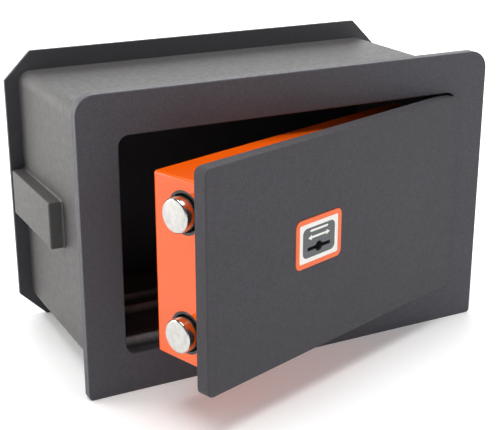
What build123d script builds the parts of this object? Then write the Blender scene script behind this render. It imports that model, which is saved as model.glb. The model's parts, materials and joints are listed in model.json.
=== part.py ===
from build123d import *
import os

# Recessed wall safe with a key-operated, double-throw bolt lock.
#
# Frame of the part, in millimetres: X to the right as one faces the safe, Y into the wall,
# Z up. The origin is the centre of the front frame's back face, which bears on the wall.
# The door group is drawn shut and then swung open to its rest angle.

# --- driving dimensions -----------------------------------------------------------------

# front frame
FRAME_WIDTH = 312.0
FRAME_HEIGHT = 206.0
FRAME_THICK = 8.0
FRAME_TOP_RADIUS = 13.0
FRAME_BOTTOM_RADIUS = 3.0
OPENING_LEFT = -128.7
OPENING_RIGHT = 129.5
OPENING_HEIGHT = 150.0
OPENING_RADIUS = 7.5
REBATE = 1.0                 # the body is set this far into the frame's back
EDGE_ROUND = 0.8

# body box and rear plate
BODY_WIDTH = 294.0
BODY_HEIGHT = 178.0
BODY_RADIUS = 9.0
BODY_SHEET = 3.0
BODY_END = 142.0             # y of the body's back end, where the rear plate starts
REAR_WIDTH = 314.0
REAR_THICK = 3.0
REAR_CHAMFER = 20.0

# anchor bars on the side walls, flush with the rear plate's edge
ANCHOR_HEIGHT = 33.0
ANCHOR_START = 54.6
ANCHOR_REAR_RADIUS = 4.0
ANCHOR_ROUND = 1.2

# felt mat on the body's floor
MAT_THICK = 2.0
MAT_SIDE_GAP = 6.5           # keeps the mat on the flat of the floor
MAT_FRONT = 2.0
MAT_REAR_GAP = 2.0
MAT_RADIUS = 4.0

# door plate
DOOR_AJAR = 18.5             # rest angle, degrees open
DOOR_LEFT = -126.2
DOOR_RIGHT = 127.5
DOOR_HEIGHT = 146.5
DOOR_THICK = 9.5
DOOR_RADIUS = 5.0
DOOR_HINGE_RADIUS = 8.0      # rounder corners at the hinge edge, which turn past the opening's
BEVEL_START = 1.0            # square part of the hinge edge, from the front face
BEVEL_WIDTH = 6.5            # how far the hinge edge leans in towards the back

# hidden pivots behind the frame, on the right
PIVOT_X = 138.5
PIVOT_Y = 4.3
PIN_RADIUS = 2.5
BOSS_RADIUS = 4.0
ARM_BOTTOM = 61.5
ARM_THICK = 6.0
ARM_ROOT = 100.0             # x of the arm's end on the door
ARM_THROAT = 13.3            # y of the gooseneck's inside, which clears the frame's lip
ARM_BAR = 6.0                # width of the gooseneck's rear leg
ARM_CORNER = 3.0
WASHER_RADIUS = 4.5
WASHER_THICK = 0.9
BRACKET_GAP = 1.0            # from the arm to the bracket, which the washer takes up
BRACKET_THICK = 4.0
BRACKET_LEFT = 131.5
BRACKET_DEPTH = 13.0
BRACKET_LEG = 7.0
BRACKET_LEG_REAR = 2.5       # y of the leg's back
PIN_CHAMFER = 0.5

# box on the door's back, which covers the bolts and the lock
BOX_LEFT = -118.8
BOX_RIGHT = 120.5
BOX_HEIGHT = 121.0
BOX_DEPTH = 44.0
BOX_SHEET = 1.5
BOX_RADIUS = 2.0
BOX_REAR_ROUND = 1.8
STANDOFFS = [(-52.0, 52.0), (-52.0, -52.0), (105.0, 50.0), (105.0, -50.0)]
STANDOFF_RADIUS = 4.0

# bolts
BOLT_RADIUS = 11.0
BOLT_Y = 18.5
BOLT_Z = 39.3
BOLT_OUT = 8.5               # how far a bolt stands out at rest, one throw of two
THROW = 8.5                  # travel for each turn of the key
BOLT_LENGTH = 50.0
BOLT_CHAMFER = 0.8
BUSH_RADIUS = 14.0
BUSH_BORE = 12.3
BUSH_FLANGE = 16.0
BUSH_DEPTH = 5.0
BUSH_FLANGE_THICK = 1.5
GUIDE_LEFT = -104.0
GUIDE_RIGHT = -90.0
GUIDE_SIZE = 29.0
GUIDE_REAR = 33.0
GUIDE_CHAMFER = 4.0
BAR_THICK = 6.0
BAR_HALF_HEIGHT = 52.0
BAR_FRONT = 10.0
BAR_REAR = 27.0
BAR_RADIUS = 3.0
TIE_RADIUS = 4.0
TIE_LENGTH = 18.0
TIE_HEAD_RADIUS = 6.5
TIE_HEAD = 4.0

# lock, on the key's axis
KEY_X = -25.8
KEY_Z = 0.0
KEY_SLOT_WIDTH = 22.4
KEY_SLOT_HEIGHT = 2.5
KEY_BARREL_RADIUS = 3.5
HARD_THICK = 3.0
HARD_HALF_HEIGHT = 33.0
CASE_LEFT = -59.7
CASE_RIGHT = 7.8
CASE_HALF_HEIGHT = 30.0
CASE_DEPTH = 17.5
CASE_WALL = 2.0
COVER_THICK = 2.0
LOCK_CORNER = 2.0            # corner radius of the cover, the levers and the tail
DRUM_RADIUS = 8.0
DRUM_STUB_RADIUS = 5.0
DRUM_SLOT_END = 17.0
DRUM_END_GAP = 0.3           # from the drum's shoulder to the lock's cover
LEVER_COUNT = 5
LEVER_THICK = 1.2
LEVER_PITCH = 1.7
LEVER_FRONT_GAP = 0.5        # from the case's floor to the first lever
LEVER_HALF_WIDTH = 18.5
LEVER_HALF_HEIGHT = 24.0
LEVER_WINDOW = 13.0          # half the window's side
LEVER_WINDOW_RADIUS = 3.0
LEVER_SLOT_END_GAP = 0.5     # past a post, at the top and bottom of its slot
LEVER_SLOT_SIDE_GAP = 0.2
LEVER_LIFT = 2.0
POST_RADIUS = 2.0
POST_Z = 18.5
POST_END = 16.0
TAIL_FRONT = 16.5
TAIL_THICK = 4.0
TAIL_HALF_HEIGHT = 20.0
TAIL_WINDOW = 12.0
TAIL_RIM = 4.0
TAIL_STEM = 7.0
TAIL_CLEAR = 0.6             # from the tail to the drum at the end of a throw
TAIL_NOTCH = 3.0
TAIL_SLOT_GAP = 0.2          # round the stem, where it leaves the case
SPRING_WIRE = 0.4
SPRING_HALF_SPAN = 7.0
SPRING_FOOT = 1.0

# escutcheon around the keyhole
ESC_WIDTH = 44.6
ESC_HEIGHT = 33.4
ESC_Z = 4.4
ESC_RADIUS = 4.5
ESC_POCKET = 0.8
ESC_POCKET_GAP = 0.3
ESC_FRAME_THICK = 1.2
ESC_ROUND = 0.3
BAND_WIDTH = 37.9
BAND_HEIGHT = 26.6
BAND_RADIUS = 1.5
BAND_THICK = 1.0
TAG_WIDTH = 31.4
TAG_HEIGHT = 20.4
TAG_RADIUS = 4.0

# screws
SCREW_RADIUS = 2.0
SCREW_HOLE = 2.1
SCREW_HEAD_RADIUS = 3.6
SCREW_HEAD = 2.2
HEX_SOCKET = 1.5
SOCKET_DEPTH = 1.2
HEAD_CHAMFER = 0.4
BOX_SCREW_LENGTH = 9.0
LOCK_SCREW_BITE = 5.0        # how far a lock screw goes into the door plate
LOCK_SCREW_INSET = 5.5

RUN_GAP = 0.05               # radial clearance of every running fit

# --- worked out from those ----------------------------------------------------------------

FRAME_FRONT = -FRAME_THICK
DOOR_BACK = FRAME_FRONT + DOOR_THICK
DOOR_MID_X = (DOOR_LEFT + DOOR_RIGHT) / 2
DOOR_WIDTH = DOOR_RIGHT - DOOR_LEFT
BOX_REAR = DOOR_BACK + BOX_DEPTH
BOX_INNER_REAR = BOX_REAR - BOX_SHEET
BODY_INNER_X = BODY_WIDTH / 2 - BODY_SHEET
BODY_FLOOR = -BODY_HEIGHT / 2 + BODY_SHEET
REAR_END = BODY_END + REAR_THICK
ARM_TOP = ARM_BOTTOM + ARM_THICK
BRACKET_BOTTOM = ARM_TOP + BRACKET_GAP
BOLT_TIP = BOX_LEFT - BOLT_OUT
BOLT_INNER = BOLT_TIP + BOLT_LENGTH
BAR_INNER = BOLT_INNER + BAR_THICK
HARD_REAR = DOOR_BACK + HARD_THICK
CASE_INNER_FRONT = HARD_REAR + CASE_WALL
CASE_REAR = HARD_REAR + CASE_DEPTH
COVER_REAR = CASE_REAR + COVER_THICK
LEVER_START = CASE_INNER_FRONT + LEVER_FRONT_GAP
SPRING_TOP = CASE_HALF_HEIGHT - CASE_WALL
LOCK_SCREWS = [
    (x, z)
    for x in (CASE_LEFT + LOCK_SCREW_INSET, CASE_RIGHT - LOCK_SCREW_INSET)
    for z in (CASE_HALF_HEIGHT - LOCK_SCREW_INSET, -CASE_HALF_HEIGHT + LOCK_SCREW_INSET)
]


# --- helpers ------------------------------------------------------------------------------

def block(x0, x1, y0, y1, z0, z1):
    """A box between two corners."""
    middle = Pos((x0 + x1) / 2, (y0 + y1) / 2, (z0 + z1) / 2)
    return middle * Box(x1 - x0, y1 - y0, z1 - z0)


def slab(sketch, y0, y1):
    """A sketch in X and Z, made solid from y0 back to y1."""
    return extrude(Plane.XZ.offset(-y1) * sketch, amount=y1 - y0)


def sheet(sketch, z0, z1):
    """A sketch in X and Y, made solid from z0 up to z1."""
    return extrude(Plane.XY.offset(z0) * sketch, amount=z1 - z0)


def rod_x(radius, x0, x1, y, z):
    return Pos((x0 + x1) / 2, y, z) * Rot(0, 90, 0) * Cylinder(radius, x1 - x0)


def rod_y(radius, y0, y1, x, z):
    return Pos(x, (y0 + y1) / 2, z) * Rot(90, 0, 0) * Cylinder(radius, y1 - y0)


def rod_z(radius, z0, z1, x, y):
    return Pos(x, y, (z0 + z1) / 2) * Cylinder(radius, z1 - z0)


def front_edges(solid):
    return solid.faces().sort_by(Axis.Y)[0].edges()


def rear_edges(solid):
    return solid.faces().sort_by(Axis.Y)[-1].edges()


def upside_down(solid):
    """The same piece below the safe's middle height."""
    return mirror(solid, about=Plane.XY)


def swung(solid):
    """A piece of the door, moved from shut to the rest angle."""
    pivot = Pos(PIVOT_X, PIVOT_Y, 0)
    return pivot * Rot(0, 0, DOOR_AJAR) * pivot.inverse() * solid


def cap_screw(x, z, head_face, tip):
    """A socket-head screw along Y, its head behind head_face and its tip at the front."""
    head_top = head_face + SCREW_HEAD
    screw = rod_y(SCREW_HEAD_RADIUS, head_face, head_top, x, z)
    screw = chamfer(rear_edges(screw), HEAD_CHAMFER)
    screw += rod_y(SCREW_RADIUS, tip, head_face, x, z)
    socket = Pos(x, 0, z) * slab(RegularPolygon(HEX_SOCKET, 6), head_top - SOCKET_DEPTH, head_top)
    return screw - socket


def key_slot(y0, y1):
    """The keyway: a level slot with a round middle for the key's shank."""
    slot = block(
        KEY_X - KEY_SLOT_WIDTH / 2, KEY_X + KEY_SLOT_WIDTH / 2, y0, y1,
        KEY_Z - KEY_SLOT_HEIGHT / 2, KEY_Z + KEY_SLOT_HEIGHT / 2,
    )
    return slot + rod_y(KEY_BARREL_RADIUS, y0, y1, KEY_X, KEY_Z)


# --- fixed pieces ---------------------------------------------------------------------------

def front_frame():
    outline = Rectangle(FRAME_WIDTH, FRAME_HEIGHT)
    outline = fillet(outline.vertices().sort_by(Axis.Y)[2:], FRAME_TOP_RADIUS)
    outline = fillet(outline.vertices().sort_by(Axis.Y)[:2], FRAME_BOTTOM_RADIUS)
    opening_middle = Pos((OPENING_LEFT + OPENING_RIGHT) / 2, 0)
    opening = RectangleRounded(OPENING_RIGHT - OPENING_LEFT, OPENING_HEIGHT, OPENING_RADIUS)
    frame = slab(outline - opening_middle * opening, FRAME_FRONT, 0)
    frame = fillet(front_edges(frame), EDGE_ROUND)
    seat = RectangleRounded(BODY_WIDTH, BODY_HEIGHT, BODY_RADIUS)
    return frame - slab(seat, -REBATE, 0)


def body_shell():
    outer = RectangleRounded(BODY_WIDTH, BODY_HEIGHT, BODY_RADIUS)
    inner_width = BODY_WIDTH - 2 * BODY_SHEET
    inner_height = BODY_HEIGHT - 2 * BODY_SHEET
    inner = RectangleRounded(inner_width, inner_height, BODY_RADIUS - BODY_SHEET)
    return slab(outer - inner, -REBATE, BODY_END)


def rear_plate():
    outline = Rectangle(REAR_WIDTH, FRAME_HEIGHT)
    outline = chamfer(outline.vertices(), REAR_CHAMFER)
    return slab(outline, BODY_END, REAR_END)


def anchor_bar(side):
    """A welded flat bar that keys the safe into the mortar; side is -1 left, 1 right."""
    inner = BODY_WIDTH / 2
    outer = REAR_WIDTH / 2
    half = ANCHOR_HEIGHT / 2
    bar = block(inner, outer, ANCHOR_START, BODY_END, -half, half)
    outside = bar.faces().sort_by(Axis.X)[-1]
    uprights = outside.edges().filter_by(Axis.Z).sort_by(Axis.Y)
    bar = fillet(uprights[-1], ANCHOR_REAR_RADIUS)
    outside = bar.faces().filter_by(Axis.X).sort_by(Axis.X)[-1]
    bar = fillet(outside.edges().sort_by(Axis.Y)[:3], ANCHOR_ROUND)
    return bar if side > 0 else mirror(bar, about=Plane.YZ)


def hinge_bracket():
    """An angle behind the frame with a bearing hole for the upper pivot pin."""
    bottom = BRACKET_BOTTOM
    top = bottom + BRACKET_THICK
    shelf = block(BRACKET_LEFT, BODY_INNER_X, -REBATE, BRACKET_DEPTH, bottom, top)
    leg_top = top + BRACKET_LEG
    leg = block(BRACKET_LEFT, BODY_INNER_X, -REBATE, BRACKET_LEG_REAR, top, leg_top)
    bearing = rod_z(PIN_RADIUS + RUN_GAP, bottom, leg_top, PIVOT_X, PIVOT_Y)
    return shelf + leg - bearing


def floor_mat():
    half_width = BODY_INNER_X - MAT_SIDE_GAP
    depth = BODY_END - MAT_REAR_GAP - MAT_FRONT
    outline = Pos(0, MAT_FRONT + depth / 2) * RectangleRounded(2 * half_width, depth, MAT_RADIUS)
    return sheet(outline, BODY_FLOOR, BODY_FLOOR + MAT_THICK)


# --- door, drawn shut -------------------------------------------------------------------------

def door_plate():
    face = Rectangle(DOOR_WIDTH, DOOR_HEIGHT)
    face = fillet(face.vertices().sort_by(Axis.X)[2:], DOOR_HINGE_RADIUS)
    face = fillet(face.vertices().sort_by(Axis.X)[:2], DOOR_RADIUS)
    plate = slab(Pos(DOOR_MID_X, 0) * face, FRAME_FRONT, DOOR_BACK)
    plate = fillet(front_edges(plate), EDGE_ROUND)
    outside = DOOR_RIGHT + BEVEL_WIDTH
    bevel = Polygon(
        (DOOR_RIGHT, FRAME_FRONT + BEVEL_START),
        (outside, FRAME_FRONT + BEVEL_START),
        (outside, DOOR_BACK),
        (DOOR_RIGHT - BEVEL_WIDTH, DOOR_BACK),
        align=None,
    )
    plate -= sheet(bevel, -DOOR_HEIGHT / 2, DOOR_HEIGHT / 2)
    plate -= escutcheon_outline(ESC_POCKET_GAP, FRAME_FRONT, FRAME_FRONT + ESC_POCKET)
    plate -= key_slot(FRAME_FRONT, DOOR_BACK)
    for x, z in LOCK_SCREWS:
        plate -= rod_y(SCREW_RADIUS, DOOR_BACK - LOCK_SCREW_BITE, DOOR_BACK, x, z)
    return plate


def escutcheon_outline(grow, y0, y1):
    size = RectangleRounded(ESC_WIDTH + 2 * grow, ESC_HEIGHT + 2 * grow, ESC_RADIUS + grow)
    return slab(Pos(KEY_X, ESC_Z) * size, y0, y1)


def escutcheon_frame():
    seat = FRAME_FRONT + ESC_POCKET
    ring = escutcheon_outline(0, seat - ESC_FRAME_THICK, seat)
    ring = fillet(front_edges(ring), ESC_ROUND)
    inside = Pos(KEY_X, ESC_Z) * RectangleRounded(BAND_WIDTH, BAND_HEIGHT, BAND_RADIUS)
    return ring - slab(inside, seat - ESC_FRAME_THICK, seat)


def escutcheon_band():
    seat = FRAME_FRONT + ESC_POCKET
    outer = RectangleRounded(BAND_WIDTH, BAND_HEIGHT, BAND_RADIUS)
    inner = RectangleRounded(TAG_WIDTH, TAG_HEIGHT, TAG_RADIUS)
    return slab(Pos(KEY_X, ESC_Z) * (outer - inner), seat - BAND_THICK, seat)


def escutcheon_tag():
    seat = FRAME_FRONT + ESC_POCKET
    tag = RectangleRounded(TAG_WIDTH, TAG_HEIGHT, TAG_RADIUS)
    return slab(Pos(KEY_X, ESC_Z) * tag, seat - BAND_THICK, seat) - key_slot(seat - BAND_THICK, seat)


def hinge_arm():
    """The upper gooseneck, a flat bar that reaches round the frame's lip to the pivot."""
    rear = ARM_THROAT + ARM_BAR
    inside = DOOR_RIGHT - BEVEL_WIDTH
    neck_left = PIVOT_X - BOSS_RADIUS
    neck_right = PIVOT_X + BOSS_RADIUS
    foot = Pos((ARM_ROOT + inside) / 2, (DOOR_BACK + rear) / 2) * Rectangle(
        inside - ARM_ROOT, rear - DOOR_BACK)
    bridge = Pos((ARM_ROOT + neck_right) / 2, (ARM_THROAT + rear) / 2) * Rectangle(
        neck_right - ARM_ROOT, ARM_BAR)
    neck = Pos((neck_left + neck_right) / 2, (PIVOT_Y + rear) / 2) * Rectangle(
        2 * BOSS_RADIUS, rear - PIVOT_Y)
    boss = Pos(PIVOT_X, PIVOT_Y) * Circle(BOSS_RADIUS)
    outline = foot + bridge + neck + boss - Pos(PIVOT_X, PIVOT_Y) * Circle(PIN_RADIUS)
    arm = sheet(outline, ARM_BOTTOM, ARM_TOP)
    back = arm.edges().filter_by(Axis.Z).sort_by(Axis.Y)[-2:]
    return fillet(back, ARM_CORNER)


def hinge_pin():
    pin = rod_z(PIN_RADIUS, ARM_BOTTOM, BRACKET_BOTTOM + BRACKET_THICK, PIVOT_X, PIVOT_Y)
    return chamfer(pin.edges().sort_by(Axis.Z)[-1], PIN_CHAMFER)


def hinge_washers():
    washer = rod_z(WASHER_RADIUS, ARM_TOP, ARM_TOP + WASHER_THICK, PIVOT_X, PIVOT_Y)
    washer -= rod_z(PIN_RADIUS + RUN_GAP, ARM_TOP, ARM_TOP + WASHER_THICK, PIVOT_X, PIVOT_Y)
    return [washer, upside_down(washer)]


def door_box():
    middle = Pos((BOX_LEFT + BOX_RIGHT) / 2, 0)
    width = BOX_RIGHT - BOX_LEFT
    outline = RectangleRounded(width, BOX_HEIGHT, BOX_RADIUS)
    outer = slab(middle * outline, DOOR_BACK, BOX_REAR)
    outer = fillet(rear_edges(outer), BOX_REAR_ROUND)
    hollow = RectangleRounded(
        width - 2 * BOX_SHEET, BOX_HEIGHT - 2 * BOX_SHEET, BOX_RADIUS - BOX_SHEET)
    pan = outer - slab(middle * hollow, DOOR_BACK, BOX_INNER_REAR)
    for x, z in STANDOFFS:
        pan -= rod_y(SCREW_HOLE, BOX_INNER_REAR, BOX_REAR, x, z)
    for z in (BOLT_Z, -BOLT_Z):
        pan -= rod_x(BUSH_RADIUS, BOX_LEFT, BOX_LEFT + BOX_SHEET, BOLT_Y, z)
    return pan


def box_standoffs():
    posts = []
    for x, z in STANDOFFS:
        post = rod_y(STANDOFF_RADIUS, DOOR_BACK, BOX_INNER_REAR, x, z)
        posts.append(post - rod_y(SCREW_RADIUS, BOX_REAR - BOX_SCREW_LENGTH, BOX_REAR, x, z))
    return posts


def box_screws():
    return [cap_screw(x, z, BOX_REAR, BOX_REAR - BOX_SCREW_LENGTH) for x, z in STANDOFFS]


def bolt_bush():
    """The dark grommet that lines the upper bolt's hole in the box."""
    inner_face = BOX_LEFT + BOX_SHEET
    sleeve = rod_x(BUSH_RADIUS, BOX_LEFT, BOX_LEFT + BUSH_DEPTH, BOLT_Y, BOLT_Z)
    flange = rod_x(BUSH_FLANGE, inner_face, inner_face + BUSH_FLANGE_THICK, BOLT_Y, BOLT_Z)
    bore = rod_x(BUSH_BORE, BOX_LEFT, BOX_LEFT + BUSH_DEPTH, BOLT_Y, BOLT_Z)
    return sleeve + flange - bore


def bolt_guide():
    """The block welded to the door that the upper bolt slides in."""
    half = GUIDE_SIZE / 2
    guide = block(GUIDE_LEFT, GUIDE_RIGHT, DOOR_BACK, GUIDE_REAR, BOLT_Z - half, BOLT_Z + half)
    rear_long = guide.faces().sort_by(Axis.Y)[-1].edges().filter_by(Axis.X)
    guide = chamfer(rear_long, GUIDE_CHAMFER)
    return guide - rod_x(BOLT_RADIUS + RUN_GAP, GUIDE_LEFT, GUIDE_RIGHT, BOLT_Y, BOLT_Z)


def hard_plate():
    plate = block(CASE_LEFT, CASE_RIGHT, DOOR_BACK, HARD_REAR, -HARD_HALF_HEIGHT, HARD_HALF_HEIGHT)
    plate -= key_slot(DOOR_BACK, HARD_REAR)
    for x, z in LOCK_SCREWS:
        plate -= rod_y(SCREW_HOLE, DOOR_BACK, HARD_REAR, x, z)
    return plate


def lock_case():
    half = CASE_HALF_HEIGHT
    case = block(CASE_LEFT, CASE_RIGHT, HARD_REAR, CASE_REAR, -half, half)
    case -= block(
        CASE_LEFT + CASE_WALL, CASE_RIGHT - CASE_WALL, CASE_INNER_FRONT, CASE_REAR,
        CASE_WALL - half, half - CASE_WALL,
    )
    case -= key_slot(HARD_REAR, CASE_INNER_FRONT)
    case -= rod_y(DRUM_RADIUS + RUN_GAP, HARD_REAR, CASE_INNER_FRONT, KEY_X, KEY_Z)
    case -= block(
        CASE_LEFT, CASE_LEFT + CASE_WALL,
        TAIL_FRONT - TAIL_SLOT_GAP, TAIL_FRONT + TAIL_THICK + TAIL_SLOT_GAP,
        -TAIL_STEM - TAIL_SLOT_GAP, TAIL_STEM + TAIL_SLOT_GAP,
    )
    for x, z in LOCK_SCREWS:
        case -= rod_y(SCREW_HOLE, HARD_REAR, CASE_INNER_FRONT, x, z)
    return case


def lock_cover():
    half = CASE_HALF_HEIGHT
    cover = block(CASE_LEFT, CASE_RIGHT, CASE_REAR, COVER_REAR, -half, half)
    cover = fillet(cover.edges().filter_by(Axis.Y), LOCK_CORNER)
    cover -= rod_y(DRUM_STUB_RADIUS + RUN_GAP, CASE_REAR, COVER_REAR, KEY_X, KEY_Z)
    for x, z in LOCK_SCREWS:
        cover -= rod_y(SCREW_HOLE, CASE_REAR, COVER_REAR, x, z)
    return cover


def lock_screws():
    tip = DOOR_BACK - LOCK_SCREW_BITE
    return [cap_screw(x, z, COVER_REAR, tip) for x, z in LOCK_SCREWS]


def lever_posts():
    return [rod_y(POST_RADIUS, CASE_INNER_FRONT, POST_END, KEY_X, z) for z in (POST_Z, -POST_Z)]


def lever_springs():
    """Bent leaf springs, one above each lever, that press it down to its stop."""
    foot = LEVER_HALF_HEIGHT
    wire = SPRING_WIRE
    leaf = Polygon(
        (-SPRING_HALF_SPAN, foot),
        (SPRING_FOOT - SPRING_HALF_SPAN, foot),
        (0.0, SPRING_TOP - wire),
        (SPRING_HALF_SPAN - SPRING_FOOT, foot),
        (SPRING_HALF_SPAN, foot),
        (wire, SPRING_TOP),
        (-wire, SPRING_TOP),
        align=None,
    )
    return [slab(Pos(KEY_X, 0) * leaf, y, y + LEVER_THICK) for y in lever_places()]


# --- pieces that move in the door ---------------------------------------------------------------

def lever_places():
    return [LEVER_START + i * LEVER_PITCH for i in range(LEVER_COUNT)]


def lever_pack():
    plate = Rectangle(2 * LEVER_HALF_WIDTH, 2 * LEVER_HALF_HEIGHT)
    plate = fillet(plate.vertices(), LOCK_CORNER)
    plate -= RectangleRounded(2 * LEVER_WINDOW, 2 * LEVER_WINDOW, LEVER_WINDOW_RADIUS)
    slot_height = 2 * (POST_RADIUS + LEVER_LIFT + LEVER_SLOT_END_GAP)
    slot = RectangleRounded(2 * (POST_RADIUS + LEVER_SLOT_SIDE_GAP), slot_height, POST_RADIUS)
    for z in (POST_Z, -POST_Z):
        plate -= Pos(0, z) * slot
    return [slab(Pos(KEY_X, KEY_Z) * plate, y, y + LEVER_THICK) for y in lever_places()]


def key_drum():
    """The curtain that the key turns: a slotted drum with a stub in the lock's cover."""
    drum = rod_y(DRUM_RADIUS, HARD_REAR, CASE_REAR - DRUM_END_GAP, KEY_X, KEY_Z)
    drum += rod_y(DRUM_STUB_RADIUS, CASE_REAR - DRUM_END_GAP, COVER_REAR, KEY_X, KEY_Z)
    return drum - key_slot(HARD_REAR, DRUM_SLOT_END)


def lock_tail():
    """The lock's own bolt, a flat frame round the drum with a stem out to the bolt bar."""
    clear = DRUM_RADIUS + THROW + TAIL_CLEAR
    left = KEY_X - clear - TAIL_RIM
    right = KEY_X + clear + TAIL_RIM
    rear = TAIL_FRONT + TAIL_THICK
    frame = block(left, right, TAIL_FRONT, rear, -TAIL_HALF_HEIGHT, TAIL_HALF_HEIGHT)
    frame = fillet(frame.edges().filter_by(Axis.Y), LOCK_CORNER)
    frame -= block(
        KEY_X - clear, KEY_X + clear, TAIL_FRONT, rear, -TAIL_WINDOW, TAIL_WINDOW)
    # notches that the key's bit drives, one for each throw
    for x in (KEY_X - THROW, KEY_X):
        frame -= block(x, x + THROW / 2, TAIL_FRONT, rear, TAIL_WINDOW, TAIL_WINDOW + TAIL_NOTCH)
    stem = block(BAR_INNER, left, TAIL_FRONT, rear, -TAIL_STEM, TAIL_STEM)
    return frame + stem


def bolt():
    """The upper bolt, bored and tapped at its inner end for the tie screw."""
    body = rod_x(BOLT_RADIUS, BOLT_TIP, BOLT_INNER, BOLT_Y, BOLT_Z)
    body = chamfer(body.edges().sort_by(Axis.X)[0], BOLT_CHAMFER)
    return body - rod_x(TIE_RADIUS, BOLT_INNER - TIE_LENGTH, BOLT_INNER, BOLT_Y, BOLT_Z)


def bolt_bar():
    bar = block(BOLT_INNER, BAR_INNER, BAR_FRONT, BAR_REAR, -BAR_HALF_HEIGHT, BAR_HALF_HEIGHT)
    bar = fillet(bar.edges().filter_by(Axis.X), BAR_RADIUS)
    for z in (BOLT_Z, -BOLT_Z):
        bar -= rod_x(TIE_RADIUS, BOLT_INNER, BAR_INNER, BOLT_Y, z)
    return bar


def bolt_screws():
    screws = []
    for z in (BOLT_Z, -BOLT_Z):
        head = Pos(0, BOLT_Y, z) * extrude(
            Plane.YZ.offset(BAR_INNER) * RegularPolygon(TIE_HEAD_RADIUS, 6), amount=TIE_HEAD)
        shank = rod_x(TIE_RADIUS, BOLT_INNER - TIE_LENGTH, BAR_INNER, BOLT_Y, z)
        screws.append(head + shank)
    return screws


# --- the whole safe -----------------------------------------------------------------------------

FIXED = {
    "front_frame": front_frame(),
    "body_shell": body_shell(),
    "rear_plate": rear_plate(),
    "anchor_bar_left": anchor_bar(-1),
    "anchor_bar_right": anchor_bar(1),
    "hinge_bracket_upper": hinge_bracket(),
    "hinge_bracket_lower": upside_down(hinge_bracket()),
    "floor_mat": floor_mat(),
}

ON_DOOR = {
    "door_plate": door_plate(),
    "escutcheon_frame": escutcheon_frame(),
    "escutcheon_band": escutcheon_band(),
    "escutcheon_tag": escutcheon_tag(),
    "hinge_arm_upper": hinge_arm(),
    "hinge_arm_lower": upside_down(hinge_arm()),
    "hinge_pin_upper": hinge_pin(),
    "hinge_pin_lower": upside_down(hinge_pin()),
    "hinge_washers": hinge_washers(),
    "door_box": door_box(),
    "box_standoffs": box_standoffs(),
    "box_screws": box_screws(),
    "bolt_bush_upper": bolt_bush(),
    "bolt_bush_lower": upside_down(bolt_bush()),
    "bolt_guide_upper": bolt_guide(),
    "bolt_guide_lower": upside_down(bolt_guide()),
    "hard_plate": hard_plate(),
    "lock_case": lock_case(),
    "lock_cover": lock_cover(),
    "lock_screws": lock_screws(),
    "lever_posts": lever_posts(),
    "lever_springs": lever_springs(),
    "lever_pack": lever_pack(),
    "key_drum": key_drum(),
    "lock_tail": lock_tail(),
    "bolt_upper": bolt(),
    "bolt_lower": upside_down(bolt()),
    "bolt_bar": bolt_bar(),
    "bolt_screws": bolt_screws(),
}


def as_one(solids):
    """A node's shape: one solid, or a group of separate ones."""
    return Compound(children=solids) if isinstance(solids, list) else solids


os.makedirs("parts", exist_ok=True)
for name, shape in FIXED.items():
    export_step(as_one(shape), f"parts/{name}.step")
for name, shape in ON_DOOR.items():
    export_step(swung(as_one(shape)), f"parts/{name}.step")
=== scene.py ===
import json
import math

import bmesh
import bpy
from mathutils import Matrix, Vector, noise


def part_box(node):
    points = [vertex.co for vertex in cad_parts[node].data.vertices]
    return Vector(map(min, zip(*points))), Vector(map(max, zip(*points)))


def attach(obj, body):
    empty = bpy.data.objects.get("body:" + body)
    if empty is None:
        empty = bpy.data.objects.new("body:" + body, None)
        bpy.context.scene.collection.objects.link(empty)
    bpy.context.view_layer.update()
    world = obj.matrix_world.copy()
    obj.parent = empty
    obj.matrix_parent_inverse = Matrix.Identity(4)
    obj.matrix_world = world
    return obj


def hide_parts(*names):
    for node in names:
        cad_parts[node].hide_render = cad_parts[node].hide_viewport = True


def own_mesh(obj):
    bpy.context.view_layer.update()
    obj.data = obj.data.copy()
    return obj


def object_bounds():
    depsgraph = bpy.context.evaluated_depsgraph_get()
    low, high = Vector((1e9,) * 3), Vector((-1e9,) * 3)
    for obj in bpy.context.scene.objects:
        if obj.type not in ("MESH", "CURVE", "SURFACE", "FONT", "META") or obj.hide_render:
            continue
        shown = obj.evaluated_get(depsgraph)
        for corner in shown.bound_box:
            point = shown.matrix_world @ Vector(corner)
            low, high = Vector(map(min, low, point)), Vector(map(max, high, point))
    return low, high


# A recessed wall safe, its door ajar. Everything is in metres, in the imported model's frame:
# X to the right, Y into the wall, Z up, the origin at the middle of the front frame's back face.

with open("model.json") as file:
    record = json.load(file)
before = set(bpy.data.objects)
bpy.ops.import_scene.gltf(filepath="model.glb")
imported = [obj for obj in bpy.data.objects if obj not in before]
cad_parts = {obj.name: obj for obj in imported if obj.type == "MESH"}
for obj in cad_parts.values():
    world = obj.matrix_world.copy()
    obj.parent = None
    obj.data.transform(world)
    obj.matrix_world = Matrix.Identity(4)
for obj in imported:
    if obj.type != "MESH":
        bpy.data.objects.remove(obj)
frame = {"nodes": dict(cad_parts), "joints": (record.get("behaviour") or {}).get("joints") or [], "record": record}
cad_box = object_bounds()

MM = 0.001
JOINTS = {joint["name"]: joint for joint in frame["joints"]}
PIVOT = Vector(JOINTS["door_hinge"]["pos_m"])
DOOR_AJAR = math.radians(-JOINTS["door_hinge"]["range_deg"][0])
KEY_AT = Vector(JOINTS["key_turn"]["pos_m"])
BOLT_AXIS = Vector(JOINTS["bolt_slide"]["axis"])
UP = Vector((0, 0, 1))

# camera
CAMERA_AT = Vector((-0.3667, -0.6419, 0.2616))
CAMERA_YAW = 27.5
CAMERA_DOWN = 19.5
CAMERA_LENS = 81.0
SENSOR_WIDTH = 36.0

# the sky, by the upward part of its direction
HORIZON_TOP = 0.12
DIM_SKY = 0.34
HORIZON_LIGHT = 0.95
OVERHEAD_LIGHT = 0.15

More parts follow.
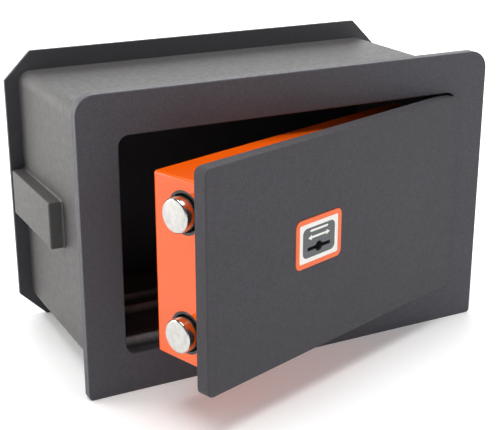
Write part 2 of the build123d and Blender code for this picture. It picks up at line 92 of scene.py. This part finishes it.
# the floor's own light, near the safe and at its rim
GLOW_NEAR = 0.18
GLOW_FAR = 0.70
GLOW_START = 0.55
GLOW_END = 1.5

# colours, linear
FRAME_GREY = (0.054, 0.053, 0.062)
BODY_GREY = (0.072, 0.0695, 0.0685)
# painted shade: the rear plate's grey is set darker than the body's, so that its front-facing rim reads as shaded
REAR_GREY = (0.044, 0.044, 0.050)
DOOR_GREY = (0.061, 0.0585, 0.065)
BOX_ORANGE = (1.0, 0.125, 0.004)
LABEL_ORANGE = (0.88, 0.138, 0.023)
LABEL_WHITE = (0.84, 0.82, 0.775)
LABEL_GREY = (0.082, 0.089, 0.095)
# pale and bluish, so that under the orange light bounced off the box the felt's crests read neutral grey
FELT_GREY = (0.500, 0.620, 0.680)


# --- materials --------------------------------------------------------------------------------

class Recipe:
    """A node material, with the few steps that all the materials here are made of."""

    def __init__(self, name):
        self.material = bpy.data.materials.new(name)
        self.material.use_nodes = True
        self.tree = self.material.node_tree
        self.shader = self.tree.nodes["Principled BSDF"]
        self.place = self.add("ShaderNodeTexCoord").outputs["Object"]
        self.relief = None

    def add(self, kind, **inputs):
        node = self.tree.nodes.new(kind)
        for name, value in inputs.items():
            self.feed(node.inputs[name.replace("_", " ")], value)
        return node

    def feed(self, socket, value):
        if isinstance(value, bpy.types.NodeSocket):
            self.tree.links.new(value, socket)
        else:
            socket.default_value = value

    def set(self, **inputs):
        for name, value in inputs.items():
            self.feed(self.shader.inputs[name.replace("_", " ")], value)

    def stretched(self, scale):
        node = self.add("ShaderNodeMapping", Vector=self.place)
        node.inputs["Scale"].default_value = scale
        return node.outputs["Vector"]

    def grain(self, size, detail=2.0, place=None):
        """Noise whose features are about size metres across."""
        node = self.add(
            "ShaderNodeTexNoise", Vector=place or self.place, Scale=1 / size, Detail=detail)
        return node.outputs[0]

    def spread(self, fac, low, high, start=0.3, end=0.7):
        """A number between low and high, as fac goes from start to end."""
        node = self.add("ShaderNodeMapRange", Value=fac)
        for name, value in (
            ("From Min", start), ("From Max", end), ("To Min", low), ("To Max", high)
        ):
            node.inputs[name].default_value = value
        return node.outputs["Result"]

    def blend(self, fac, first, second):
        node = self.tree.nodes.new("ShaderNodeMix")
        node.data_type = "RGBA"
        for socket, value in zip((node.inputs[0], node.inputs[6], node.inputs[7]),
                                 (fac, first, second)):
            plain = isinstance(value, tuple) and len(value) == 3
            self.feed(socket, (*value, 1.0) if plain else value)
        return node.outputs[2]

    def soft_edges(self, radius):
        """Shades sharp edges as if they had this radius."""
        node = self.add("ShaderNodeBevel", Radius=radius)
        node.samples = 4
        self.relief = node.outputs["Normal"]

    def edges(self, radius):
        """A mask that is 1 on edges and fades out within radius."""
        rounded = self.add("ShaderNodeBevel", Radius=radius)
        rounded.samples = 6
        flat = self.add("ShaderNodeNewGeometry").outputs["Normal"]
        dot = self.tree.nodes.new("ShaderNodeVectorMath")
        dot.operation = "DOT_PRODUCT"
        self.feed(dot.inputs[0], rounded.outputs["Normal"])
        self.feed(dot.inputs[1], flat)
        return self.spread(dot.outputs["Value"], 1.0, 0.0, 0.80, 0.995)

    def bump(self, height, depth, strength=1.0):
        node = self.add("ShaderNodeBump", Height=height, Distance=depth, Strength=strength)
        if self.relief is not None:
            self.feed(node.inputs["Normal"], self.relief)
        self.relief = node.outputs["Normal"]

    def finish(self):
        if self.relief is not None:
            self.feed(self.shader.inputs["Normal"], self.relief)
        return self.material


def scaled(colour, factor):
    return tuple(min(1.0, part * factor) for part in colour)


# powder coat: the sizes of its features, from the broadest to the finest
COAT_CLOUDS = 60 * MM
COAT_EDGE_PATCHES = 9 * MM
COAT_MOTTLE = 4 * MM
COAT_PEEL = 2.6 * MM
COAT_SPECKS = 0.7 * MM
COAT_EDGE = 0.5 * MM
PALE_EDGE_WIDTH = 1.0 * MM
COAT_SHINE = 0.27
EDGE_WEAR_AND_HIGHLIGHT = 2.6                    # how much paler an edge is: partly wear, partly a painted edge highlight


def powder_coat(name, colour, roughness, shine=COAT_SHINE, edge_wear_and_highlight=EDGE_WEAR_AND_HIGHLIGHT):
    """Baked powder: a fine grain over a slow orange peel, paler on the edges, partly from wear and partly as a
    painted edge highlight.
    """
    mat = Recipe(name)
    mat.soft_edges(COAT_EDGE)
    clouds = mat.grain(COAT_CLOUDS, 3.0)
    mottle = mat.grain(COAT_MOTTLE, 4.0)
    specks = mat.grain(COAT_SPECKS, 3.0)
    coat = mat.blend(mat.spread(clouds, 0.0, 1.0), scaled(colour, 0.94), scaled(colour, 1.05))
    coat = mat.blend(mat.spread(mottle, 0.0, 0.45), coat, scaled(colour, 0.80))
    coat = mat.blend(mat.spread(specks, 0.0, 0.42, 0.42, 0.70), coat, scaled(colour, 1.9))
    # the pale edges are partly wear and partly a painted highlight along every edge
    pale_edges = mat.add("ShaderNodeMath")
    pale_edges.operation = "MULTIPLY"
    patches = mat.grain(COAT_EDGE_PATCHES, 4.0)
    mat.feed(pale_edges.inputs[0], mat.edges(PALE_EDGE_WIDTH))
    mat.feed(pale_edges.inputs[1], mat.spread(patches, 0.04, 0.55, 0.42, 0.65))
    coat = mat.blend(pale_edges.outputs[0], coat, scaled(colour, edge_wear_and_highlight))
    mat.set(
        Base_Color=coat,
        Roughness=mat.spread(mottle, roughness - 0.04, roughness + 0.06),
        Specular_IOR_Level=shine,
    )
    mat.bump(mat.grain(COAT_PEEL, 1.0), 0.06 * MM, 0.6)
    mat.bump(specks, 0.07 * MM, 0.9)
    return mat.finish()


def gloss_coat(name, colour):
    """Glossy orange powder coat with a shallow orange peel."""
    mat = Recipe(name)
    mat.soft_edges(0.5 * MM)
    clouds = mat.spread(mat.grain(45 * MM), 0.0, 1.0)
    coat = mat.blend(clouds, scaled(colour, 0.93), colour)
    specks = mat.spread(mat.grain(0.7 * MM), 0.0, 0.12, 0.55, 0.75)
    coat = mat.blend(specks, coat, scaled(colour, 0.55))
    mat.set(
        Base_Color=coat,
        Roughness=mat.spread(mat.grain(12 * MM), 0.11, 0.17),
        Specular_IOR_Level=0.40,
        Coat_Weight=0.20,
        Coat_Roughness=0.06,
    )
    mat.bump(mat.grain(3.2 * MM, 1.0), 0.04 * MM, 0.35)
    return mat.finish()


def metal(name, colour, roughness, along=(1.0, 1.0, 1.0), lines=0.35 * MM, edge=0.3 * MM):
    """Bare or plated metal, brushed where along stretches its lines."""
    mat = Recipe(name)
    mat.soft_edges(edge)
    brushed = mat.grain(lines, 2.0, mat.stretched(along))
    tint = mat.blend(mat.spread(mat.grain(8 * MM, 3.0), 0.0, 1.0),
                     scaled(colour, 0.88), scaled(colour, 1.05))
    mat.set(
        Base_Color=tint,
        Metallic=1.0,
        Roughness=mat.spread(brushed, roughness - 0.06, roughness + 0.10),
    )
    mat.bump(brushed, 0.01 * MM, 0.5)
    return mat.finish()


def bolt_end(name):
    """The sawn and tumbled end of a plated bolt: pale, satin and finely speckled."""
    mat = Recipe(name)
    mat.soft_edges(0.3 * MM)
    pits = mat.grain(0.8 * MM, 4.0)
    tint = mat.blend(mat.spread(mat.grain(4 * MM, 4.0), 0.0, 1.0),
                     (0.53, 0.52, 0.495), (0.66, 0.65, 0.62))
    mat.set(Base_Color=tint, Metallic=0.55, Roughness=mat.spread(pits, 0.42, 0.60))
    mat.bump(pits, 0.03 * MM, 0.6)
    return mat.finish()


def plastic(name, colour, roughness, specks=0.10, peel=0.02 * MM):
    """Moulded or printed plastic with a faint uneven skin."""
    mat = Recipe(name)
    mat.soft_edges(0.15 * MM)
    fine = mat.grain(0.4 * MM, 3.0)
    tint = mat.blend(mat.spread(fine, 0.0, 1.0), scaled(colour, 1.0 - specks),
                     scaled(colour, 1.0 + specks))
    mat.set(
        Base_Color=tint,
        Roughness=mat.spread(mat.grain(3 * MM), roughness - 0.04, roughness + 0.06),
    )
    mat.bump(fine, peel, 0.5)
    return mat.finish()


def felt(name, colour, valley, crest):
    """Needled felt: tangled fibres and a soft sheen, with painted shade in the hollows between its ridges so that
    the crests read as lit.
    """
    mat = Recipe(name)
    height = mat.add("ShaderNodeSeparateXYZ", Vector=mat.place).outputs["Z"]
    fibres = mat.grain(0.45 * MM, 5.0, mat.stretched((1.0, 0.45, 1.0)))
    crossing = mat.grain(0.6 * MM, 5.0, mat.stretched((0.4, 1.0, 1.0)))
    tufts = mat.grain(5 * MM, 3.0)
    felt_tone = mat.blend(mat.spread(fibres, 0.0, 1.0, 0.38, 0.66), scaled(colour, 0.55),
                    scaled(colour, 2.2))
    felt_tone = mat.blend(mat.spread(tufts, 0.0, 0.5, 0.45, 0.65), felt_tone, scaled(colour, 1.3))
    # painted shade: down in the hollows between the ridges the felt darkens to a tenth of its colour, so that the
    # crests read as lit
    felt_tone = mat.blend(mat.spread(height, 0.0, 1.0, valley, crest), scaled(colour, 0.10), felt_tone)
    mat.set(
        Base_Color=felt_tone, Roughness=0.95, Specular_IOR_Level=0.1,
        Sheen_Weight=0.35, Sheen_Roughness=0.5,
    )
    mat.bump(fibres, 0.35 * MM, 0.9)
    mat.bump(crossing, 0.35 * MM, 0.7)
    return mat.finish()


def floor_paint(name):
    mat = Recipe(name)
    shade = mat.spread(mat.grain(400 * MM), 0.0, 1.0)
    # the floor glows up to white far from the safe, where the lamps over it don't reach
    reach = mat.tree.nodes.new("ShaderNodeVectorMath")
    reach.operation = "LENGTH"
    mat.feed(reach.inputs[0], mat.place)
    glow = mat.spread(reach.outputs["Value"], GLOW_NEAR, GLOW_FAR, GLOW_START, GLOW_END)
    mat.set(Base_Color=mat.blend(shade, (0.92, 0.92, 0.92), (0.95, 0.95, 0.95)), Roughness=0.7,
            Emission_Color=(1.0, 1.0, 1.0, 1.0), Emission_Strength=glow)
    return mat.finish()


BODY_COAT = powder_coat("body_powder", BODY_GREY, 0.50)
WHITE_INK = plastic("white_ink", LABEL_WHITE, 0.42, 0.04)
CHROME = metal("bolt_chrome", (0.58, 0.58, 0.57), 0.13, lines=0.6 * MM)
BOLT_END = bolt_end("bolt_end")
MAT_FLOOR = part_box("floor_mat")[0].z
MAT_VALLEY = MAT_FLOOR + 2.0 * MM
MAT_CREST = MAT_FLOOR + 4.2 * MM
FELT = felt("felt", FELT_GREY, MAT_VALLEY, MAT_CREST)

FINISHES = {
    "frame_coat": powder_coat("frame_powder", FRAME_GREY, 0.50),
    "body_coat": BODY_COAT,
    "rear_coat": powder_coat("rear_powder", REAR_GREY, 0.55),
    "door_coat": powder_coat("door_powder", DOOR_GREY, 0.56, shine=0.10, edge_wear_and_highlight=1.7),
    "orange_paint": gloss_coat("orange_gloss", BOX_ORANGE),
    "bolt_chrome": CHROME,
    "zinc_steel": metal("zinc_plate", (0.62, 0.64, 0.66), 0.30, (1.0, 0.2, 1.0)),
    "black_steel": metal("black_oxide", (0.030, 0.030, 0.032), 0.38),
    "hardened_steel": metal("hardened_steel", (0.20, 0.20, 0.22), 0.42, (0.2, 1.0, 1.0)),
    "spring_steel": metal("spring_steel", (0.42, 0.43, 0.46), 0.28),
    "brass": metal("brass", (0.70, 0.50, 0.20), 0.28, (1.0, 1.0, 0.25)),
    "black_plastic": plastic("dark_grommet", (0.030, 0.033, 0.032), 0.45),
    "escutcheon_orange": plastic("label_orange", LABEL_ORANGE, 0.36, 0.05),
    "escutcheon_white": WHITE_INK,
    "escutcheon_grey": plastic("label_grey", LABEL_GREY, 0.40, 0.12),
    "felt": FELT,
}


def dress_cad_nodes():
    """Gives each CAD node the finish of its slot in the record."""
    for part in frame["record"]["subparts"]:
        node = frame["nodes"][part["node"]]
        if not node.material_slots:
            node.data.materials.append(None)
        for place in node.material_slots:
            place.material = FINISHES[part["material_slot"]]


# --- mesh helpers -----------------------------------------------------------------------------

def new_piece(name, mesh, material, body, smooth=True):
    """Makes an object of a bmesh, and lets it ride on its body."""
    bmesh.ops.recalc_face_normals(mesh, faces=mesh.faces)
    data = bpy.data.meshes.new(name)
    mesh.to_mesh(data)
    mesh.free()
    for face in data.polygons:
        face.use_smooth = smooth
    for each in material if isinstance(material, list) else [material]:
        data.materials.append(each)
    piece = bpy.data.objects.new(name, data)
    bpy.context.scene.collection.objects.link(piece)
    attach(piece, body)
    return piece


def swung():
    """The turn that takes the shut door to its rest angle."""
    turn = Matrix.Rotation(DOOR_AJAR, 4, "Z")
    return Matrix.Translation(PIVOT) @ turn @ Matrix.Translation(-PIVOT)


SWUNG = swung()


def shut(point):
    """Where a point of the ajar door is when the door is shut."""
    return SWUNG.inverted() @ point


# --- the pieces made here -----------------------------------------------------------------------

BOLT_STEPS = 96
BOLT_CHAMFER = 0.8 * MM
BOLT_SOFT = 0.25 * MM         # how far the bolt's corners are eased
TIP_RING = 0.35               # the tip face's inner ring, as a share of the radius
SIDE_RING = 0.35              # the side's middle ring, as a share of the length
BACK_RING = 4.0 * MM          # the back face's inner ring


def turned_bolt(name, node):
    """A turned and plated bolt, lathed about its axis, in the place of the CAD's."""
    low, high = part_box(node)
    middle = (low + high) / 2
    radius = (high.z - low.z) / 2
    # the record's axis is rounded, so its length in plan is not quite 1
    across = math.hypot(BOLT_AXIS.x, BOLT_AXIS.y)
    # the box of a cylinder turned in plan is wider than its length by the ends' slant
    length = (high.x - low.x - 2 * radius * abs(BOLT_AXIS.y)) / (abs(BOLT_AXIS.x) / across)
    ease = 0.3 * BOLT_SOFT
    # how far back from the tip, and how far out from the axis
    profile = [
        (0.0, TIP_RING * radius),
        (0.0, radius - BOLT_CHAMFER - BOLT_SOFT),
        (ease, radius - BOLT_CHAMFER),
        (BOLT_CHAMFER - ease, radius - ease),
        (BOLT_CHAMFER + BOLT_SOFT, radius),
        (length * SIDE_RING, radius),
        (length - BOLT_SOFT, radius),
        (length, radius - BOLT_SOFT),
        (length, BACK_RING),
    ]
    mesh = bmesh.new()
    side = BOLT_AXIS.cross(UP).normalized()
    tip = middle + BOLT_AXIS * (length / 2)
    rings = []
    for back, out in profile:
        ring = []
        for step in range(BOLT_STEPS):
            turn = 2 * math.pi * step / BOLT_STEPS
            arm = side * math.cos(turn) + UP * math.sin(turn)
            ring.append(mesh.verts.new(tip - BOLT_AXIS * back + arm * out))
        rings.append(ring)
    mesh.faces.new(rings[0])
    for first, second in zip(rings, rings[1:]):
        for step in range(BOLT_STEPS):
            after = (step + 1) % BOLT_STEPS
            mesh.faces.new((first[step], first[after], second[after], second[step]))
    mesh.faces.new(rings[-1])
    end_face = BOLT_CHAMFER * 0.2
    for face in mesh.faces:
        depth = (tip - face.calc_center_median()).dot(BOLT_AXIS)
        face.material_index = 1 if depth < end_face else 0
    piece = new_piece(name, mesh, [CHROME, BOLT_END], "bolts")
    for face in piece.data.polygons:
        face.use_smooth = len(face.vertices) == 4
    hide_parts(node)
    return piece


MAT_THICK = 1.4 * MM
MAT_COLUMNS = 150
MAT_ROWS = 110
MAT_RIDGE_WIDTH = 6.0 * MM
MAT_RIDGES = ((28 * MM, 2.6 * MM), (78 * MM, 3.2 * MM), (100 * MM, 2.6 * MM))
MAT_CORNER = 4.0 * MM
MAT_WANDER = 1.6 * MM         # how far a ridge strays from straight
MAT_SWELL = 0.3 * MM
MAT_FUZZ = 0.12 * MM
WANDER_RATE = 22              # the rates are per metre
SWELL_RATE = 30
FUZZ_RATE = 700
FUZZ_LAYER_RATE = 900
WANDER_SLICE = 3.1            # which slice of the noise each one reads
SWELL_SLICE = 7.7


def mat_height(x, y):
    """How far the felt stands off the floor: a few soft ridges that run across the safe."""
    wander = MAT_WANDER * noise.noise(Vector((x * WANDER_RATE, 0.0, WANDER_SLICE)))
    height = 0.0
    for ridge, tall in MAT_RIDGES:
        away = (y + wander - ridge) / MAT_RIDGE_WIDTH
        height += tall * math.exp(-away * away)
    swell = 0.5 + 0.5 * noise.noise(Vector((x * SWELL_RATE, y * SWELL_RATE, SWELL_SLICE)))
    return height * (0.75 + 0.5 * swell) + MAT_SWELL * swell


def felt_mat():
    """The felt on the body's floor, laid loose, so that it ripples."""
    low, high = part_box("floor_mat")
    mesh = bmesh.new()
    grids = []
    for lift in (0.0, MAT_THICK):
        grid = []
        for row in range(MAT_ROWS + 1):
            line = []
            for column in range(MAT_COLUMNS + 1):
                x = low.x + (high.x - low.x) * column / MAT_COLUMNS
                y = low.y + (high.y - low.y) * row / MAT_ROWS
                inner_x = min(max(x, low.x + MAT_CORNER), high.x - MAT_CORNER)
                inner_y = min(max(y, low.y + MAT_CORNER), high.y - MAT_CORNER)
                away = Vector((x - inner_x, y - inner_y))
                if away.length > MAT_CORNER:
                    away = away.normalized() * MAT_CORNER
                x, y = inner_x + away.x, inner_y + away.y
                spot = Vector((x * FUZZ_RATE, y * FUZZ_RATE, lift * FUZZ_LAYER_RATE))
                fuzz = MAT_FUZZ * noise.noise(spot)
                z = low.z + lift + mat_height(x, y) + (fuzz if lift else 0.0)
                line.append(mesh.verts.new((x, y, max(z, low.z))))
            grid.append(line)
        grids.append(grid)
    bottom, top = grids
    for row in range(MAT_ROWS):
        for column in range(MAT_COLUMNS):
            for grid in grids:
                mesh.faces.new((
                    grid[row][column], grid[row][column + 1],
                    grid[row + 1][column + 1], grid[row + 1][column]))
    for column in range(MAT_COLUMNS):
        for row in (0, MAT_ROWS):
            mesh.faces.new((
                bottom[row][column], bottom[row][column + 1],
                top[row][column + 1], top[row][column]))
    for row in range(MAT_ROWS):
        for column in (0, MAT_COLUMNS):
            mesh.faces.new((
                bottom[row][column], bottom[row + 1][column],
                top[row + 1][column], top[row][column]))
    piece = new_piece("felt_mat", mesh, FELT, "safe_body")
    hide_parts("floor_mat")
    return piece


def prism(mesh, outline, front, back):
    """Adds an outline in X and Z, made solid from y front to y back, on the shut door."""
    near = [mesh.verts.new(SWUNG @ Vector((x, front, z))) for x, z in outline]
    far = [mesh.verts.new(SWUNG @ Vector((x, back, z))) for x, z in outline]
    mesh.faces.new(near)
    mesh.faces.new(list(reversed(far)))
    for i in range(len(outline)):
        j = (i + 1) % len(outline)
        mesh.faces.new((near[i], far[i], far[j], near[j]))


def stadium(x, z, width, height, steps=10):
    """The outline of a bar with round ends."""
    half = width / 2 - height / 2
    points = []
    for side in (1, -1):
        for step in range(steps + 1):
            turn = math.pi / 2 - math.pi * step / steps + (0 if side > 0 else math.pi)
            points.append((x + side * half + height / 2 * math.cos(turn),
                           z + height / 2 * math.sin(turn)))
    return points


def shut_box(node):
    """The lowest and highest corners of a CAD node of the door, when the door is shut."""
    points = [shut(vertex.co) for vertex in frame["nodes"][node].data.vertices]
    return (Vector([min(point[i] for point in points) for i in range(3)]),
            Vector([max(point[i] for point in points) for i in range(3)]))


LEAVES = 5
LEAF_WIDTH = 1.2 * MM
LEAF_STOCK = 0.35 * MM
LEAF_STEPS = 28


def leaf_springs():
    """A bowed leaf over each lever, made in its bowed shape only; the real leaf flattens against the case as the
    levers lift.
    """
    low, high = shut_box("lever_springs")
    pitch = (high.y - low.y - LEAF_WIDTH) / (LEAVES - 1)
    middle, half = (low.x + high.x) / 2, (high.x - low.x) / 2
    rise = high.z - low.z - LEAF_STOCK
    bow = []
    for step in range(LEAF_STEPS + 1):
        along = 2 * step / LEAF_STEPS - 1
        bow.append((middle + half * along, low.z + rise * (1 + math.cos(math.pi * along)) / 2))
    outline = bow + [(x, z + LEAF_STOCK) for x, z in reversed(bow)]
    mesh = bmesh.new()
    for leaf in range(LEAVES):
        front = low.y + leaf * pitch
        prism(mesh, outline, front, front + LEAF_WIDTH)
    piece = new_piece(
        "leaf_springs", mesh, FINISHES["spring_steel"], "door", smooth=False)
    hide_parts("lever_springs")
    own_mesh(piece)
    return piece


INK = 0.05 * MM
LINE_WIDTH = 1.5 * MM
RULE_Z = 12.2 * MM
RULE_LENGTH = 17.5 * MM
ARROW_Z = 7.6 * MM
ARROW_SHAFT = 15.0 * MM
ARROW_ROOT = 7.2 * MM
ARROW_HEAD = 3.6 * MM


def label_marks():
    """Plain marks printed on the grey plate: a rule, and a two-way arrow for the key's turn."""
    centre = shut(KEY_AT)
    face = shut_box("escutcheon_tag")[0].y
    front = face - INK
    mesh = bmesh.new()
    prism(mesh, stadium(centre.x, RULE_Z, RULE_LENGTH, LINE_WIDTH), front, face)
    prism(mesh, stadium(centre.x, ARROW_Z, ARROW_SHAFT, LINE_WIDTH), front, face)
    for side in (-1, 1):
        root = centre.x + side * ARROW_ROOT
        outline = [
            (root, ARROW_Z + ARROW_HEAD / 2),
            (root + side * ARROW_HEAD, ARROW_Z),
            (root, ARROW_Z - ARROW_HEAD / 2),
        ]
        prism(mesh, outline, front, face)
    return new_piece("label_marks", mesh, WHITE_INK, "door", smooth=False)


BEAD_RADIUS = 1.3 * MM
BEAD_STEP = 0.9 * MM
BEAD_ARC = 7
BEAD_RIPPLE = 0.10
RIPPLE_TURN = 1.9             # radians of ripple for each step
BEAD_HOLLOW = 0.35


def bead(name, corners, inward, radius, body):
    """A weld fillet along a run of corners, rippled like a laid bead; inward is off the wall."""
    mesh = bmesh.new()
    path = []
    for first, second in zip(corners, corners[1:]):
        count = max(2, round((second - first).length / BEAD_STEP))
        path += [(first.lerp(second, i / count), second - first) for i in range(count)]
    path.append((corners[-1], corners[-1] - corners[-2]))
    rings = []
    for number, (point, way) in enumerate(path):
        side = inward.cross(way).normalized()
        swell = radius * (1.0 + BEAD_RIPPLE * math.sin(number * RIPPLE_TURN))
        ring = [mesh.verts.new(point)]
        for i in range(BEAD_ARC + 1):
            turn = math.pi / 2 * i / BEAD_ARC
            reach = swell * (1.0 - BEAD_HOLLOW * math.sin(2 * turn))
            ring.append(mesh.verts.new(
                point + side * reach * math.cos(turn) + inward * reach * math.sin(turn)))
        rings.append(ring)
    size = BEAD_ARC + 2
    for first, second in zip(rings, rings[1:]):
        for i in range(size):
            j = (i + 1) % size
            mesh.faces.new((first[i], first[j], second[j], second[i]))
    mesh.faces.new(rings[0])
    mesh.faces.new(list(reversed(rings[-1])))
    return new_piece(name, mesh, BODY_COAT, body)


def anchor_welds():
    """The fillet that joins each anchor bar to the side wall, round three sides of its foot."""
    wall_low, wall_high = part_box("body_shell")
    for side, node in ((-1, "anchor_bar_left"), (1, "anchor_bar_right")):
        low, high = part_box(node)
        wall = wall_low.x if side < 0 else wall_high.x
        run = [
            Vector((wall, high.y, high.z)), Vector((wall, low.y, high.z)),
            Vector((wall, low.y, low.z)), Vector((wall, high.y, low.z)),
        ]
        if side > 0:
            run.reverse()
        name = node.replace("anchor_bar", "anchor_weld")
        bead(name, run, Vector((side, 0, 0)), BEAD_RADIUS, "safe_body")


# --- stage, light and camera ----------------------------------------------------------------------

FLOOR_RADIUS = 1.9
FLOOR_SIDES = 128


def stage():
    """A plain pale floor under the safe."""
    mesh = bmesh.new()
    level = cad_box[0].z
    mesh.faces.new([
        mesh.verts.new((FLOOR_RADIUS * math.cos(math.tau * i / FLOOR_SIDES),
                        FLOOR_RADIUS * math.sin(math.tau * i / FLOOR_SIDES), level))
        for i in range(FLOOR_SIDES)])
    data = bpy.data.meshes.new("floor")
    mesh.to_mesh(data)
    mesh.free()
    data.materials.append(floor_paint("floor_paint"))
    floor = bpy.data.objects.new("floor", data)
    bpy.context.scene.collection.objects.link(floor)


SAFE_MIDDLE = Vector((0, 0.05, 0))


def softbox(name, at, size, power, aim=SAFE_MIDDLE, tint=(1, 1, 1)):
    light = bpy.data.lights.new(name, "AREA")
    light.shape = "RECTANGLE"
    light.size, light.size_y = size
    light.energy = power
    light.color = tint
    lamp = bpy.data.objects.new(name, light)
    lamp.location = at
    lamp.rotation_euler = (aim - Vector(at)).to_track_quat("-Z", "Y").to_euler()
    bpy.context.scene.collection.objects.link(lamp)


def lights():
    """A white backdrop behind the safe, softboxes at the left and above, a fill at the front."""
    softbox("backdrop_glow", at=(0.0, 2.6, 1.1), size=(6.0, 2.4), power=95.0,
            aim=Vector((0, 0, 0.3)))
    softbox("top_softbox", at=(0.0, 0.0, 1.7), size=(1.8, 1.0), power=32.5)
    softbox("left_softbox", at=(-1.45, 1.15, 0.40), size=(0.9, 0.9), power=15.4,
            tint=(1.0, 0.985, 0.96))
    softbox("right_fill", at=(1.1, -1.2, 0.55), size=(0.8, 0.8), power=5.8,
            tint=(0.98, 0.98, 1.0))
    world = bpy.data.worlds.new("studio")
    bpy.context.scene.world = world
    world.use_nodes = True
    tree = world.node_tree
    tree.nodes["Background"].inputs["Color"].default_value = (1.0, 1.0, 1.0, 1.0)
    way = tree.nodes.new("ShaderNodeTexCoord")
    parts = tree.nodes.new("ShaderNodeSeparateXYZ")
    tree.links.new(way.outputs["Generated"], parts.inputs[0])
    # pale at the horizon, where the floor ends, and dim overhead
    fall = tree.nodes.new("ShaderNodeMapRange")
    fall.interpolation_type = "SMOOTHSTEP"
    for name, value in (
        ("From Min", HORIZON_TOP), ("From Max", DIM_SKY),
        ("To Min", HORIZON_LIGHT), ("To Max", OVERHEAD_LIGHT),
    ):
        fall.inputs[name].default_value = value
    tree.links.new(parts.outputs["Z"], fall.inputs["Value"])
    tree.links.new(fall.outputs["Result"], tree.nodes["Background"].inputs["Strength"])
    bpy.context.scene.view_settings.view_transform = "Standard"


def camera():
    data = bpy.data.cameras.new("camera")
    data.lens = CAMERA_LENS
    data.sensor_width = SENSOR_WIDTH
    data.dof.use_dof = False
    eye = bpy.data.objects.new("camera", data)
    yaw, down = math.radians(CAMERA_YAW), math.radians(CAMERA_DOWN)
    looking = Vector((
        math.sin(yaw) * math.cos(down), math.cos(yaw) * math.cos(down), -math.sin(down)))
    eye.location = CAMERA_AT
    eye.rotation_euler = looking.to_track_quat("-Z", "Y").to_euler()
    bpy.context.scene.collection.objects.link(eye)
    bpy.context.scene.camera = eye


camera()
stage()
lights()
dress_cad_nodes()
turned_bolt("turned_bolt_upper", "bolt_upper")
turned_bolt("turned_bolt_lower", "bolt_lower")
felt_mat()
leaf_springs()
label_marks()
anchor_welds()
